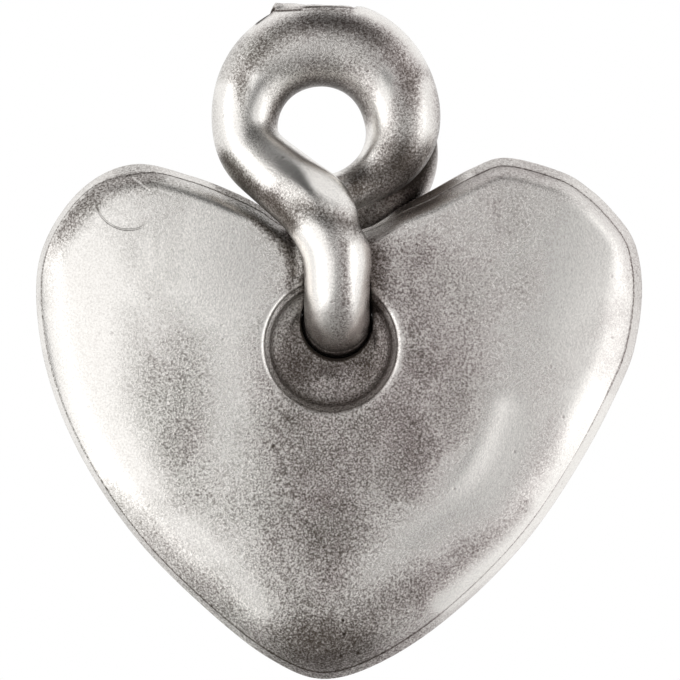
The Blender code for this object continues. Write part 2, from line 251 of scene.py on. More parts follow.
# %% Stations behind the heart
far = WRAP_RADIUS + (BACK_SWELL - BACK_STRAND) / 2
hole_widths = np.array((0.93, 1.04, 1.07, 1.07, 1.07)) * STRAND
back_turn = (
    wrap_stations((158, 171, 184, 200, 216), hole_widths / 2),
    wrap_stations((244,), BACK_STRAND / 2, WRAP_RADIUS + 0.04 * MM),
    wrap_stations((258,), BACK_SWELL / 2, far),
)
leave = HINGE + np.array((0, far, 0))
arrive = np.array((EYE_RADIUS + 2.075 * MM, 0, 0.55 * EYE_RADIUS))
climb = stations_between(leave, arrive, (
    (0.03, 0, 0, 4.07), (0.22, -0.03, 0.165, 3.9), (0.58, 0, 0.32, 3.9), (0.84, 0.13, 0.47, 3.9),
    (0.99, 0.41, 0.65, 3.9), (1, 0.69, 0.82, 3.59), (1, 0.88, 1, 2.81),
))
back_path = np.vstack((*back_turn, climb))
print("back strand runs through", len(back_path), "stations")

# %% [markdown]
# ## The bar as a swept surface
# A circle is carried along the path. At every step it has to face along the path without spinning, or
# the surface would twist. Two directions at right angles to the path are enough: one is found from a
# fixed guide direction, and the other from both. Cast metal is never quite round, so the radius also
# gets slow waves, a few hundredths of a millimetre high, which make the reflections wander.


# %% Sweep helpers
def slow_waves(points, size, seed):
    """A sum of twelve sine waves in random directions, with wavelengths near a given size. The result
    stays between about -1 and 1 and changes smoothly in all three directions."""
    rng = np.random.default_rng(seed)
    ways = rng.normal(size=(12, 3))
    ways /= np.linalg.norm(ways, axis=1)[:, None]
    pace = 2 * math.pi / (size * rng.uniform(0.7, 1.6, 12))
    phase = rng.uniform(0, 2 * math.pi, 12)
    flat = points.reshape(-1, 3)
    waves = np.sin(flat @ (ways * pace[:, None]).T + phase)
    return (waves.sum(axis=1) / 6).reshape(points.shape[:-1])


def bar_line(path, rows):
    """The path's curve read in 420 even steps, softened over 7 of them, and read again in even rows."""
    line = even_steps(through_knots(path, 12, False), 420, False)
    return even_steps(softened(line, 7), rows, False)


def swept_bar(path, rows, around, guide):
    """Centre + radius (cos u side + sin u up), for every station and every u at once. guide gives a
    direction at every station that is never along the path."""
    line = bar_line(path, rows)
    middle, radius = line[:, :3], line[:, 3]
    along = np.gradient(middle, axis=0)
    along /= np.linalg.norm(along, axis=1)[:, None]
    up = np.cross(along, guide(middle))
    up /= np.linalg.norm(up, axis=1)[:, None]
    side = np.cross(up, along)
    u = np.linspace(0, 2 * math.pi, around, endpoint=False)[None, :, None]
    ray = np.cos(u) * side[:, None] + np.sin(u) * up[:, None]
    return middle[:, None], radius[:, None, None], ray


def domed(radius, rows):
    """The radius falls to nothing over the last rows as a quarter circle does."""
    index = np.arange(len(radius))[:, None, None]
    near = np.minimum(np.minimum(index, len(radius) - 1 - index) / rows, 1)
    return radius * np.sqrt(np.clip(1 - (1 - near) ** 2, 0.003, 1))


steps = np.diff(bar_line(front_path, 100)[:, :3], axis=0)
print("the front strand is", round(float(np.linalg.norm(steps, axis=1).sum()) / MM, 1), "mm long")

# %% [markdown]
# ## The front strand and its eye
# The front strand is widest where it bends down into the notch. Its upper side was pressed flat there,
# so it catches the light in one broad patch. Just below the bend the casting is pinched in along a
# slanting line, which draws a dark band between two bright bulges. Metal ran into the mould through a
# gate on top of the eye. Its stump was filed off there, which left the eye flat on top, with a ragged
# burr at the left end where the file stopped.


# %% Front strand
def front_guide(middle):
    """+Y round the eye, turning to +X on the way down to the hole."""
    share = smooth_step(-middle[:, 2], 2.5 * MM, 6.0 * MM)[:, None]
    return mix(np.array((0, 1.0, 0)), np.array((1.0, 0, 0)), share)


def pinched(points, ray):
    """Moves points inwards along their ray by bell curves: the pinch below the bend, and a swell under it."""
    x, y, z = in_mm(points)
    slant = z + 4.6 + 0.3 * (x - 0.25)
    ahead = smooth_step(-y, 1.6, 3.0) * smooth_step(x, -2.4, -1.0)
    depth = (0.2 * bell(slant, 0, 0.55) - 0.12 * bell(slant, -1.7, 0.9)) * ahead
    return points - depth[..., None] * MM * ray


FLAT_WAY = np.array((0.43, -0.68, 0.59)) / np.linalg.norm((0.43, -0.68, 0.59))


def flattened(points, at, way, reach):
    """Near a place, what stands past the plane through it is pressed back to the plane."""
    over = smooth_max((points - at) @ way, 0, 0.3 * MM)
    over *= bell(np.linalg.norm(points - at, axis=-1), 0, reach, 4)
    return points - over[..., None] * way


def filed_top(points):
    """z becomes the smaller of z and a sloping plane, plus a burr that stands on the plane's left end."""
    x, y, z = in_mm(points)
    ragged = 0.03 * slow_waves(points, 0.7 * MM, 5) + 0.02 * slow_waves(points, 0.35 * MM, 6)
    plane = 6.9 - 0.03 * x + ragged - 0.1 * bell(x, 1.8, 0.12)
    burr = smooth_step(x, -2.75, -2.55) * (1 - smooth_step(x, -1.9, -0.9))
    burr *= (1 - smooth_step(np.abs(y + 0.15), 0.35, 0.75)) * smooth_step(z, 5.9, 6.5)
    target = mix(np.minimum(z, plane), np.maximum(z, 7.0 + 2 * ragged), burr)
    points[..., 2] = np.minimum(target, 7.08) * MM


def eased(grid, at, size, reach):
    """Near a place, every column of the grid is softened along the bar, as wax is that a finger passed."""
    x, _, z = in_mm(grid)
    share = (bell(x, at[0], size) * bell(z, at[1], size))[..., None]
    smooth = np.stack([softened(grid[:, k], reach) for k in range(grid.shape[1])], 1)
    return mix(grid, smooth, share)


middle, radius, ray = swept_bar(front_path, 340, 80, front_guide)
cast = 1 + 0.014 * slow_waves(middle + radius * ray, 3.5 * MM, 1)[..., None]
front = eased(middle + domed(radius, 9) * cast * ray, (-3.4, -0.1), 1.9, 10)
front = eased(front, (1.6, -5.3), 1.6, 8)
bend = mix(crossing[2], crossing[3], 0.75)
facet = bend[:3] + 0.82 * bend[3] * FLAT_WAY  # on the bar's upper side, 0.82 of its radius out
front = pinched(flattened(front, facet, FLAT_WAY, 2.6 * MM), ray)
filed_top(front)
bail_front = grid_piece("bail_front", front)

# %% [markdown]
# ## The back strand
# Behind the heart the same bar climbs to the right leg of the eye, where it was laid against the metal
# and joined. It is its own surface that runs into the first one. The sharp valley where the two meet is
# what a real joint of this kind shows.


# %% Back strand
def back_guide(middle):
    """+X all the way: the back strand never runs along it."""
    return np.tile((1.0, 0, 0), (len(middle), 1))


middle, radius, ray = swept_bar(back_path, 190, 72, back_guide)
outside = smooth_step(middle[..., 1], 1.8 * MM, 3.2 * MM)
cast = 1 + (0.02 * outside * slow_waves(middle + radius * ray, 3.0 * MM, 2))[..., None]
back = middle + domed(radius, 8) * cast * ray
bail_back = grid_piece("bail_back", back)

# %% [markdown]
# ## The heart's outline
# The two lobes differ a little and the tip is blunt, as on the real casting, so the outline is one
# closed curve through 32 knots. The first 27 are shares of the heart's width and height from the hinge.
# The last five are in millimetres and make the notch, which the crossing bar hides.

# %% Outline of the heart
HEART_WIDTH = 33.3 * MM
HEART_HEIGHT = 28.7 * MM
AROUND = 560
outline_shares = np.array((
    (0.154, 0.132), (0.223, 0.176), (0.281, 0.196), (0.373, 0.168), (0.421, 0.133), (0.455, 0.095),
    (0.486, 0.048), (0.500, -0.003), (0.504, -0.067), (0.496, -0.145), (0.476, -0.221), (0.408, -0.376),
    (0.314, -0.537), (0.195, -0.675), (0.081, -0.766), (-0.020, -0.803), (-0.108, -0.766),
    (-0.210, -0.675), (-0.329, -0.537), (-0.423, -0.376), (-0.479, -0.215), (-0.497, -0.057),
    (-0.477, 0.048), (-0.416, 0.142), (-0.334, 0.184), (-0.240, 0.161), (-0.168, 0.129),
))
notch = np.array(((-4.12, 2.93), (-2.70, 1.98), (-0.11, 1.5), (1.85, 1.85), (3.47, 2.88))) * MM
knots = np.vstack((outline_shares * (HEART_WIDTH, HEART_HEIGHT), notch)) + HINGE[[0, 2]]
outline = even_steps(through_knots(knots, 60, True), AROUND, True, axes=2)
print("outline", len(outline), "points, width", round(float(np.ptp(outline[:, 0])) / MM, 2), "mm")

# %% [markdown]
# ## The pillow of the front
# The front swells like a pillow. Its height depends on how far a place is from the outline. The true
# distance would leave a sharp ridge down the middle of each lobe, so this uses a soft distance: the
# outline is treated as a thin wire, and the sum of one over distance to the sixth power is turned back
# into a length. Near the edge the two agree, and in the middle the soft one is smooth. From side to
# side the whole front is bent a little, and one low ridge, left by the maker's hand, runs down the
# right half.


# %% Height of the front
FRONT_DEPTH = 2.75 * MM
BACK_DEPTH = 2.4 * MM
WALL_DEPTH = 0.8 * MM  # where the side ends and the front's rounded rim starts
DOME_DROP = (0.35 * MM, 0.85 * MM)  # from the middle to the rim, on the lobes and near the tip
DOME_REACH = 8.5 * MM
BEND_RADIUS = 115 * MM
BEND_MIDDLE = 2.0 * MM
RIDGE = ((9.2, -15.2), (7.9, -18.3), (5.5, -20.4), (3.3, -22.2), (1.8, -23.6))
RIDGE_HEIGHT = 0.17 * MM
STRAIGHT = 1.178  # 3 pi / 8: what the sum below gives one unit away from a long straight wire


def with_depth(flat, y):
    """x, y and z of points from their place in the front view and their depth."""
    return np.stack((flat[..., 0], np.broadcast_to(y, flat.shape[:-1]), flat[..., 1]), -1)


def edge_distance(flat):
    """(sum of length / distance^6, divided by 3 pi / 8) to the power -1/5."""
    wire = outline[::4]
    length = np.linalg.norm(np.roll(wire, -1, axis=0) - wire, axis=1)
    middle = (np.roll(wire, -1, axis=0) + wire) / 2
    places = flat.reshape(-1, 2).astype(np.float32)
    apart = ((places[:, None] - middle[None].astype(np.float32)) ** 2).sum(axis=2)
    total = (length * np.maximum(apart, 1e-8) ** -3.0).sum(axis=1)
    return ((total / STRAIGHT) ** -0.2).reshape(flat.shape[:-1])


def stroke(x, z, knots, width):
    """exp(-(distance / width)^2) from a line through the knots, seen from the front, all in mm."""
    line = even_steps(through_knots(knots, 12, False), 40, False, axes=2)
    apart = (x[..., None] - line[:, 0]) ** 2 + (z[..., None] - line[:, 1]) ** 2
    return np.exp(-apart.min(axis=-1) / width**2)


def front_depth(flat):
    """Full depth - drop (1 - distance / reach)^2.2 - x^2 / (2 bend radius), plus the ridge and slow
    hand-worked swells. The drop grows from the lobes down to the tip."""
    x, z = flat[..., 0], flat[..., 1]
    share = np.minimum(edge_distance(flat) / DOME_REACH, 1)
    drop = mix(*DOME_DROP, smooth_step(-z, 3 * MM, 13 * MM))
    depth = FRONT_DEPTH - drop * (1 - share) ** 2.2 - (x - BEND_MIDDLE) ** 2 / (2 * BEND_RADIUS)
    depth += RIDGE_HEIGHT * stroke(x / MM, z / MM, RIDGE, 0.95)
    return depth + 0.02 * MM * share * slow_waves(with_depth(flat, 0.0), 7 * MM, 3)


below_dish = HINGE[[0, 2]] - (0, 9 * MM)
print("below the dish the front is", round(float(front_depth(below_dish)) / MM, 2), "mm from the mould line")

# %% [markdown]
# ## The heart's surface, ring by ring
# The heart has a hole, so its skin is closed in both directions, like a ring doughnut. One direction, u,
# goes round the outline. The other, v, goes from the back over the side, across the front, down the dish
# and through the hole to the back again. Each ring of points below is one step in v. The front half of
# the mould slopes in a little, so from the front a narrow band of the side shows all round. On the left
# lobe a bulge of flash, metal that was pressed between the halves of the mould, makes it wider.


# %% Rings of the side and the rim
BACK_ROUND = 1.0 * MM  # radius of the back's edge
FLASH = 0.3 * MM


def inward(ring, distance):
    """The ring moved to its inner side: along the path turned a quarter turn, times the distance."""
    along = np.roll(ring, -3, axis=0) - np.roll(ring, 3, axis=0)
    along /= np.linalg.norm(along, axis=1)[:, None]
    return ring + np.asarray(distance).reshape(-1, 1) * np.column_stack((along[:, 1], -along[:, 0]))


def turn_rows(count, first, last):
    """Angles for the rows of a rounded edge, from degrees."""
    return np.radians(np.linspace(first, last, count))


x, z = outline.T / MM
near_notch = bell(x, HINGE[0] / MM, 4.2, 4) * smooth_step(z, -9, -5)
step = MM * (0.36 + 0.09 * np.tanh((x - HINGE[0] / MM) / 6)) * (1 - 0.6 * near_notch)
step += FLASH * bell(x, -10.6, 1.5) * (z > -6)
rim_width = MM * mix(1.8, 0.95, smooth_step(z, -10, -5)) * (1 - 0.2 * near_notch)
rows = []
for t in turn_rows(7, 4, 84):
    flat = inward(outline, BACK_ROUND * (1 - np.sin(t)))
    rows.append(with_depth(flat, BACK_DEPTH - BACK_ROUND * (1 - np.cos(t))))

# Each row of the side: its depth and its way inwards in mm, and its share of the side band's step.
side_steps = (
    (1.4, 0, 0), (1.0, 0, 0), (0.6, 0, 0), (0.25, 0, 0), (0.0, 0, 0), (-0.12, 0.01, 0.02),
    (-0.22, 0.03, 0.12), (-0.4, 0.03, 0.38), (-0.58, 0.03, 0.66), (-0.72, 0.03, 0.88), (-0.79, 0.03, 0.97),
)
for depth, shift, share in side_steps:
    rows.append(with_depth(inward(outline, shift * MM + share * step), depth * MM))
rim_rows = np.linspace(0, 1, 14)
for share in rim_rows**1.3:
    flat = inward(outline, 0.05 * MM + step + rim_width * share)
    rise = 1 - (1 - share) ** 2.5
    rows.append(with_depth(flat, -mix(WALL_DEPTH, front_depth(flat), rise)))
side_rows = np.array(rows)
print("side and rim:", len(side_rows), "rings")

# %% [markdown]
# ## The dish and the hole
# The front rings move from the rim to the lip of a round dish, where the bail dips into the heart. From
# its floor the hole bends backwards and up, along the same circle about the hinge that the bail follows,
# so that the bar could turn in it. The hole's rings stand across that circle.

# %% Rings of the front and the dish
DISH = HINGE + np.array((-0.33, 0, -4.7)) * MM
DISH_RADIUS = 3.6 * MM
LIP_ROUND = 0.25 * MM
WALL_LEAN = 0.25 * MM  # how much narrower the dish is at the foot of its wall
BOWL = -1.1 * MM  # y of the dish's floor beside its wall
CORNER = (1.1 * MM, 0.95 * MM)  # half widths of the oval corner between wall and floor
aim = np.arctan2(outline[:, 1] - DISH[2], outline[:, 0] - DISH[0])
spoke = np.column_stack((np.cos(aim), np.sin(aim)))


def dish_ring(radius):
    """A circle about the dish's middle, with one point for each point of the outline."""
    return DISH[[0, 2]] + radius * spoke


rim = side_rows[-1][:, [0, 2]]
t = np.linspace(0, 1, 62)[1:, None, None]
flat = mix(rim, dish_ring(DISH_RADIUS + LIP_ROUND + 0.02 * MM), t + 0.06 * np.sin(2 * math.pi * t))
front_rows = with_depth(flat, -front_depth(flat))

lip_y = front_rows[-1][:, 1]
rows = []
for t in turn_rows(6, 15, 90):
    flat = dish_ring(DISH_RADIUS + 0.02 * MM + LIP_ROUND * (1 - np.sin(t)))
    rows.append(with_depth(flat, lip_y + LIP_ROUND * (1 - np.cos(t))))
wall_top = rows[-1][:, 1]
for share in (0.25, 0.5, 0.75):
    flat = dish_ring(DISH_RADIUS - WALL_LEAN * share)
    rows.append(with_depth(flat, mix(wall_top, BOWL - CORNER[1], share)))
for t in turn_rows(8, 0, 80):
    flat = dish_ring(DISH_RADIUS - WALL_LEAN - CORNER[0] * (1 - np.cos(t)))
    rows.append(with_depth(flat, BOWL - CORNER[1] * (1 - np.sin(t))))
print("front", len(front_rows), "rings, dish's wall", len(rows), "rings")

# %% [markdown]
# ## From the dish's floor into the hole
# The floor is the part of the dish between the foot of its wall and the mouth of the hole. A small knob
# of metal stands on it below the bar, as in the photograph.


# %% Rings of the floor and the hole
FLOOR = -0.75 * MM  # y of the hole's mouth
HOLE_WIDTH = 1.975 * MM
HOLE_RADIUS = 2.03 * MM


def oval(x, z, at, size, turn=0.0):
    """A bell over a turned oval: exp(-(a^2 + b^2)), with a and b measured along its two half widths."""
    a, b = x - at[0], z - at[1]
    c, s = math.cos(math.radians(turn)), math.sin(math.radians(turn))
    return bell(c * a + s * b, 0, size[0]) * bell(c * b - s * a, 0, size[1])


reach = WRAP_RADIUS - HOLE_RADIUS * np.sin(aim)
enter = math.pi - np.arcsin(np.clip(-FLOOR / reach, 0, 0.9))
leave = math.pi + np.arcsin(np.clip(BACK_DEPTH / reach, 0, 0.93))
turns = mix(enter, leave, np.linspace(0, 1, 22)[:, None])
across = np.broadcast_to(HINGE[0] + HOLE_WIDTH * np.cos(aim), turns.shape)
hole_rows = np.stack((across, HINGE[1] - reach * np.sin(turns), HINGE[2] + reach * np.cos(turns)), -1)
dish_edge = rows[-1]
rows += [mix(dish_edge, hole_rows[0], share) for share in np.linspace(0, 1, 9)[1:-1]]
dish_rows = np.array(rows)
x, y, z = in_mm(dish_rows)
dish_rows[..., 1] -= 0.3 * MM * oval(x, z, (0.3, -13.75), (0.7, 0.6)) * smooth_step(y, -1.7, -1.2)
print("dish", len(dish_rows), "rings, hole", len(hole_rows), "rings")

# %% [markdown]
# ## The back
# The photograph doesn't show the back. A casting like this usually has a plain flat one with the edge
# rounded over, so the rings spread out from the hole to the outline at one depth.

# %% Rings of the back, and all rings together
hole_end = hole_rows[-1]
share = np.linspace(0, 1, 30)[1:-1, None, None]
flat = mix(hole_end[:, [0, 2]], side_rows[0][:, [0, 2]], share)
rise = smooth_step(share[..., 0], 0.0, 0.14)
wave = 0.02 * MM * slow_waves(with_depth(flat, 0.0), 8 * MM, 4) * rise * (1 - share[..., 0])
back_rows = with_depth(flat, mix(hole_end[:, 1], BACK_DEPTH - 0.01 * MM + wave, rise))
parts = {"side": side_rows, "front": front_rows, "dish": dish_rows, "hole": hole_rows, "back": back_rows}
skin = np.concatenate(list(parts.values()))
sections = {}
first = 0
for title, part in parts.items():
    sections[title] = slice(first, first + len(part))
    first += len(part)
sections["rim"] = slice(len(side_rows) - len(rim_rows), len(side_rows))
print("heart grid", skin.shape[:2], "about", 2 * skin.shape[0] * skin.shape[1], "triangles")

# %% [markdown]
# ## Room for the bar
# Where the bar crosses the heart, the heart has grooves. The room that the bar needs is taken as many
# balls along its path, each a little bigger than the bar, and repeated for every angle of the swing.
# Points on the front move straight back until they are behind all the balls, and points on the back
# move forward. A smooth maximum does this without a hard edge: near the meeting line it goes a little
# further than either surface, as metal does when an edge is rubbed round.


# %% Balls along the bar, and the grooves that they leave
FRONT_ROOM = 0.1 * MM  # how much bigger than the bar the balls are, in front and behind
BACK_ROOM = 0.045 * MM
HALF_SWING = 15  # degrees, forward and back
CONE = 1.3


def bar_room(line, room):
    """Ball centres and radii, one set for each angle of the swing. Turning by a about the hinge line:
    y' = y cos a - z sin a and z' = y sin a + z cos a, from the hinge."""
    a = np.radians(np.linspace(-HALF_SWING, HALF_SWING, 9))[:, None]
    y, z = line[:, 1] - HINGE[1], line[:, 2] - HINGE[2]
    x = np.broadcast_to(line[:, 0], (len(a), len(line)))
    turned = (x, y * np.cos(a) - z * np.sin(a) + HINGE[1], y * np.sin(a) + z * np.cos(a) + HINGE[2])
    return np.stack(turned, -1), line[:, 3] + room


# Only the stations that can touch the heart's front, and those that can touch its back, are used.
line = bar_line(front_path, 130)
x, y, z = in_mm(line)
front_room = bar_room(line[(y < -2.5) & (z < -1.5) | (x < -1) & (z < -0.5)], FRONT_ROOM)
line = bar_line(back_path, 130)
x, y, z = in_mm(line)
back_room = bar_room(line[(y > 0.9) & (z < 0)], BACK_ROOM)


def groove(points, room, side):
    """The depth behind the balls whose middle lies outside the heart: the largest of
    y + sqrt(radius^2 - apart^2), which falls off as a cone of slope 1.3 outside a ball. side is 1 for
    the front and -1 for the back."""
    deepest = np.full(len(points), -1.0)
    for balls in room[0]:
        outside = side * balls[:, 1] < -1.7 * MM
        balls = balls[outside]
        size = room[1][outside]
        apart = np.linalg.norm(points[:, None, [0, 2]] - balls[None][..., [0, 2]], axis=2)
        reach = np.sqrt(np.maximum(size**2 - apart**2, 0)) - CONE * np.maximum(apart - size, 0)
        deepest = np.maximum(deepest, (side * balls[:, 1] + reach).max(axis=1))
    return deepest


near = (np.abs(skin[..., 0] - HINGE[0]) < 7 * MM) & (skin[..., 2] > HINGE[2] - 5 * MM)
grooves = (("rim", front_room, 1), ("front", front_room, 1), ("dish", front_room, 1), ("back", back_room, -1))
for title, room, side in grooves:
    part = skin[sections[title]]
    chosen = near[sections[title]]
    points = part[chosen]
    points[:, 1] = side * smooth_max(side * points[:, 1], groove(points, room, side), 0.35 * MM)
    part[chosen] = points
    print(title, "points beside the bar:", len(points))

# %% [markdown]
# ## The hollow beside the crossing
# Left of the crossing the front of the heart slopes back towards the bar, in a hollow about a
# millimetre wide. A punch may have cleared the wax there to let the bail pass.


# %% Hollow beside the crossing
def flat_gap(points, line):
    """Distance in the x-z plane to the bar's outline, in mm: the smallest distance to a station less its
    radius."""
    apart = np.hypot(points[..., 0, None] - line[:, 0], points[..., 2, None] - line[:, 2])
    return (apart - line[:, 3]).min(axis=-1) / MM


crossing_line = bar_line(front_path, 160)
crossing_line = crossing_line[(crossing_line[:, 2] < -0.5 * MM) & (crossing_line[:, 1] < 0)]
for title in ("rim", "front"):
    part = skin[sections[title]]
    chosen = near[sections[title]]
    x, y, z = part[chosen].T
    slope = mix(1.35 * MM, 2.9 * MM, smooth_step(flat_gap(part[chosen], crossing_line), -0.4, 1.25))
    left = smooth_step(HINGE[0] - x, 1.7 * MM, 2.6 * MM) * (z > HINGE[2] - 1 * MM)
    y = mix(y, smooth_max(y, -slope, 0.2 * MM), left)
    part[chosen] = np.stack((x, y, z), -1)
print("hollow: the front slopes back from 2.9 to 1.35 mm beside the crossing")

# %% [markdown]
# ## Out of the bar's way
# The grooves moved points only forward or back. Inside the notch and the hole that isn't enough, so
# every point that still lies in the bar's way is pushed out along the shortest line: out of a ring about
# the hinge, in which the bar lies at every angle, and out of the balls. After each of five pushes the
# points round the moved ones are averaged a little, which keeps the faces even. A last push follows.


# %% Points pushed out
WAY_RADIUS = 1.97 * MM
PUSHES = 5


def ball_gaps(points, middles, sizes):
    """How far every point is from the surface of every ball: |point - middle| - size. The squared length
    is taken as point^2 + middle^2 - 2 point . middle."""
    square = (points**2).sum(1)[:, None] + (middles**2).sum(1)[None] - 2 * points @ middles.T
    return np.sqrt(np.maximum(square, 0)) - sizes


def push_out(points):
    """Moves each point that is inside the ring-shaped way, or inside a ball, to its surface."""
    arm = points - HINGE
    rho = np.hypot(arm[:, 1], arm[:, 2])
    off = np.stack((arm[:, 0], rho - WRAP_RADIUS), -1)
    apart = np.maximum(np.linalg.norm(off, axis=1), 1e-9)
    off *= np.maximum(WAY_RADIUS / apart, 1)[:, None]
    share = (WRAP_RADIUS + off[:, 1]) / rho
    points = HINGE + np.stack((off[:, 0], arm[:, 1] * share, arm[:, 2] * share), -1)
    for balls, size in (front_room, back_room):
        middles = balls.reshape(-1, 3)
        gap = ball_gaps(points, middles, np.tile(size, len(balls)))
        worst = gap.argmin(axis=1)
        out = points - middles[worst]
        out /= np.maximum(np.linalg.norm(out, axis=1), 1e-9)[:, None]
        points = points - np.minimum(gap[np.arange(len(points)), worst], 0)[:, None] * out
    return points


x, y, z = in_mm(skin - HINGE)
deep = y > 0.6
close = (np.abs(x) < 6) & (z > np.where(deep, -6.2, -3.6))
close[sections["hole"]] &= deep[sections["hole"]]
for _ in range(PUSHES):
    before = skin.copy()
    skin[close] = push_out(skin[close])
    moved = (np.linalg.norm(skin - before, axis=2) > 0.002 * MM).astype(float)
    for axis in (0, 1, 0, 1):
        moved = np.maximum(moved, np.maximum(np.roll(moved, 1, axis), np.roll(moved, -1, axis)))
    moved[sections["hole"]] = 0
    mean = sum(np.roll(skin, way, axis) for way in (1, -1) for axis in (0, 1)) / 4
    skin = mix(skin, mean, 0.5 * moved[..., None])
skin[close] = push_out(skin[close])
print("points moved out of the bar's way:", int(moved.sum()))

# %% [markdown]
# ## Where the silver is dark and where it is bright
# Antique silver is blackened all over and then rubbed. What a thumb or a felt wheel reaches turns bright,
# and the hollows keep their brown-black skin. Two marks are worked out per point and kept on the mesh as
# attributes. The first says how deep a point lies in a hollow, with painted shade added to it; the second
# says how much the rubbing has reached it, with painted highlights and painted shade added to it. First
# the dark places of the heart: patina beside the bar, on the floor of the dish, in the hollow beside the
# crossing and right of the drop, and a band of painted shade along the upper edge of both lobes.


# %% Dark hollows and painted shade of the heart
def gap_to_bar(points, line):
    """Distance to the bar's surface at rest, in mm: the smallest distance to a station less its radius."""
    return ball_gaps(points, line[:, :3], line[:, 3]).min(axis=1) / MM


x, y, z = in_mm(skin)
hinge_x = HINGE[0] / MM
dish_x, dish_z = DISH[[0, 2]] / MM
both_strands = np.vstack((bar_line(front_path, 160), bar_line(back_path, 90)))
gap = gap_to_bar(skin.reshape(-1, 3), both_strands).reshape(x.shape)
patina_and_shade = 0.75 * np.exp(-np.maximum(gap - 0.15, 0) / 0.35)
patina_and_shade *= 1 - 0.6 * smooth_step(x, 2.4, 3.4) * (y < -0.9)

from_dish = np.hypot(x - dish_x, z - dish_z)
in_dish = (1 - smooth_step(from_dish, 3.45, 3.7)) * (y < 1) * smooth_step(y, -2.3, -1.6)
# The floor of the dish keeps a black patina, lighter on its knob. Its upper half is painted lighter, a
# painted pool of light.
floor_tone = 0.42 - 0.25 * oval(x, z, (0.4, -13.9), (1.9, 1.0))
floor_tone -= 0.16 * smooth_step(from_dish, 2.4, 3.1) + 0.14 * smooth_step(z, -13.2, -11.6)
patina_and_shade = np.maximum(patina_and_shade * (1 - 0.55 * in_dish), floor_tone * in_dish)

beside = flat_gap(skin, crossing_line)
hollow = smooth_step(hinge_x - x, 1.7, 2.6) * (1 - smooth_step(beside, 0.7, 1.2)) * (y < 0)
patina_and_shade = np.maximum(patina_and_shade, 0.45 * hollow * (z > -9))
beside_drop = smooth_step(x, 2.0, 2.8) * bell(np.maximum(beside, 0.3), 0.3, 0.75) * (y < 0)
patina_and_shade = np.maximum(patina_and_shade, 0.5 * beside_drop * smooth_step(-z, 5.6, 7.0) * (z > -10))

# A band of painted shade runs along the upper edge of both lobes, strongest at the far left and fading
# towards the notch.
from_edge = edge_distance(skin[..., [0, 2]]) / MM
band = 1.4 + 0.5 * smooth_step(-x, 8.0, 10.0)
painted_top_shade = (1 - smooth_step(from_edge, band - 1.0, band)) * smooth_step(from_edge, 0.3, 0.5)
painted_top_shade *= smooth_step(z, -8.0, -4.0) * smooth_step(np.abs(x - 0.9), 4.5, 7.5)
left_tone = 0.35 + 0.2 * smooth_step(-x, 10.5, 13.5) - 0.23 * smooth_step(x, -9.5, -7.5)
right_tone = 0.2 - 0.08 * smooth_step(x, 12.0, 14.5)
patina_and_shade = np.maximum(patina_and_shade, np.where(x < 0, left_tone, right_tone) * painted_top_shade * (y < -0.6))

# The hole is black all through, and a thin dark line runs along the corner where side and rim meet.
patina_and_shade[sections["hole"]] = 1.4
corner = sections["rim"].start
patina_and_shade[corner - 1 : corner + 1] = np.maximum(patina_and_shade[corner - 1 : corner + 1], 0.4)
print("share of the heart's points in a hollow:", round(float((patina_and_shade > 0.2).mean()), 2))

# %% [markdown]
# ## Where the heart was rubbed, and its painted light and shade
# Broad ovals and narrow strokes on the front are each brighter or darker than the rest. They stand partly
# for rubbing and partly for painted highlights and painted shade: the brightly lit left side and right
# shoulder, the shaded tip, the highlight along the ridge with a shade beside it, the bright lower rims and
# the bright edge right of the notch. They are two tables. A row of OVALS gives the middle, the half
# widths, how much brighter it is and how far it is turned, in degrees. A row of STROKES gives the points of
# a line, its half width and how much brighter it is. The back was rubbed evenly, and the dish's lip is
# bright at its sides: rubbed, with a painted highlight.

# %% Rubbed places and painted light and shade of the heart
# Ovals of rubbed silver and of painted light and shade: the lit left side and right shoulder, darker patches,
# the shaded tip.
OVALS = (
    ((-13.0, -11.5), (3.2, 9.0), 0.45, 0),
    ((-5.0, -13.8), (1.4, 5.8), 0.3, 0),
    ((-8.0, -15.5), (1.7, 5.0), -0.13, 8),
    ((-6.5, -6.6), (3.6, 4.2), 0.38, 10),
    ((2.0, -16.0), (4.5, 5.0), -0.15, 0),
    ((-1.9, -17.2), (1.5, 4.6), -0.22, 0),
    ((5.4, -13.0), (2.2, 3.6), -0.17, 0),
    ((0.4, -22.5), (2.4, 4.5), -0.27, 0),
    ((11.5, -8.0), (1.0, 2.2), -0.1, -15),
    ((14.0, -11.5), (2.6, 7.0), 0.32, 8),
    ((15.0, -6.6), (1.8, 2.8), 0.4, 0),
    ((9.1, -19.0), (2.2, 2.2), 0.27, 0),
    ((4.9, -18.0), (1.4, 2.3), -0.18, 0),
    ((5.8, -4.1), (2.4, 0.8), 0.3, 27),
    ((5.8, -6.9), (1.6, 1.0), -0.14, 0),
    ((5.2, -9.6), (1.5, 1.8), -0.12, 0),
    ((7.4, -15.3), (1.3, 1.7), -0.15, 0),
    ((10.6, -13.4), (1.5, 3.8), 0.18, 0),
    ((3.8, -25.8), (2.2, 1.1), -0.2, 40),
    ((0.0, -28.4), (3.6, 1.8), -0.5, 0),
)
